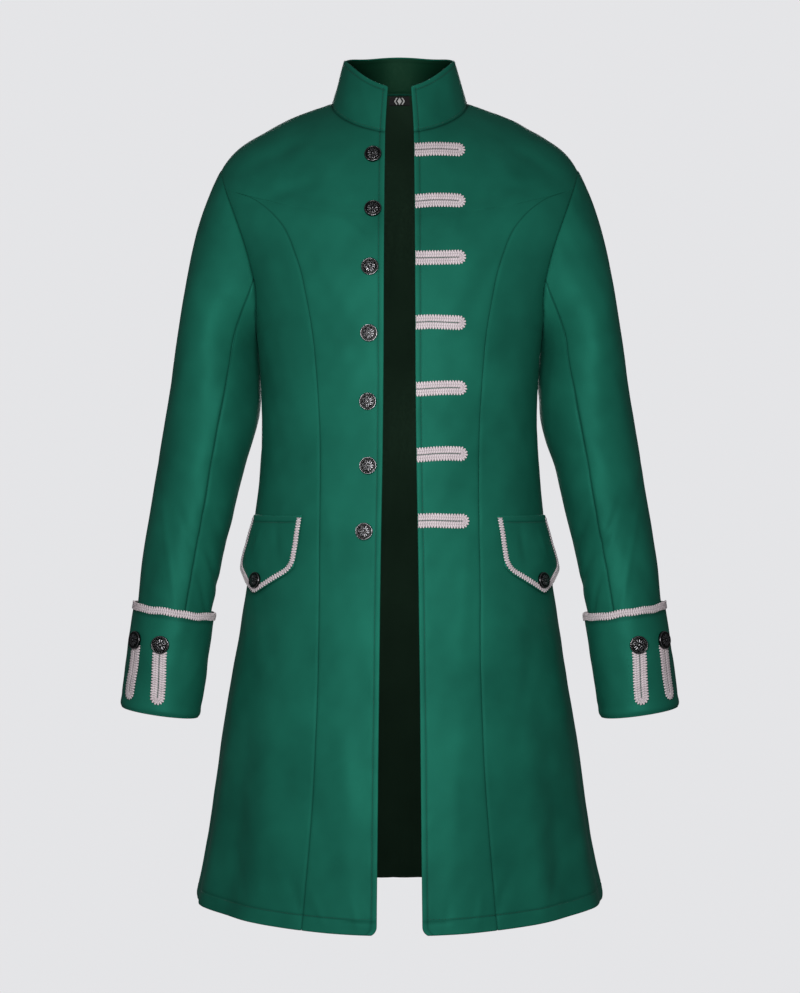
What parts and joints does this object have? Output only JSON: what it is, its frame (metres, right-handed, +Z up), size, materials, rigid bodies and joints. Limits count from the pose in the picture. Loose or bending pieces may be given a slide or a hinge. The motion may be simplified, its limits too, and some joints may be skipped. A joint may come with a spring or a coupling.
{
  "type": "frock coat",
  "caption": "Open knee-length frock coat with standing collar, two-piece sleeves with turned-back cuffs, pointed pocket flaps, braid and shank buttons, in hollow worn form.",
  "frame": {"origin": "between the shoulders, level with the points where the collar meets the shoulder seams: the wearer carries the coat there", "axes": "+Z up, the coat faces -Y, +X is the wearer's left"},
  "size_m": [0.6906, 0.3735, 1.0759],
  "materials": {
    "cloth": "deep green satin-faced twill with a soft sheen",
    "lining": "near-black green lining, dull satin",
    "braid": "matt silvery gimp braid with a faint pink cast",
    "button": "black and gunmetal, semi-gloss, with a worn relief",
    "label": "black woven ribbon"
  },
  "bodies": {
    "root": {"front_left": "cloth", "side_front_left": "cloth", "back_left": "cloth", "sleeve_top_left": "cloth", "sleeve_under_left": "cloth", "cuff_left": "cloth", "flap_left": "cloth", "front_right": "cloth", "side_front_right": "cloth", "back_right": "cloth", "sleeve_top_right": "cloth", "sleeve_under_right": "cloth", "cuff_right": "cloth", "flap_right": "cloth", "collar": "cloth", "lining_back": "lining", "label": "label", "front_braid_1": "braid", "front_button_1": "button", "front_braid_2": "braid", "front_button_2": "button", "front_braid_3": "braid", "front_button_3": "button", "front_braid_4": "braid", "front_button_4": "button", "front_braid_5": "braid", "front_button_5": "button", "front_braid_6": "braid", "front_button_6": "button", "front_braid_7": "braid", "front_button_7": "button", "cuff_edge_braid_left": "braid", "flap_braid_left": "braid", "flap_button_left": "button", "cuff_tab_left_1": "braid", "cuff_button_left_1": "button", "cuff_tab_left_2": "braid", "cuff_button_left_2": "button", "cuff_edge_braid_right": "braid", "flap_braid_right": "braid", "flap_button_right": "button", "cuff_tab_right_1": "braid", "cuff_button_right_1": "button", "cuff_tab_right_2": "braid", "cuff_button_right_2": "button"}
  },
  "joints": []
}
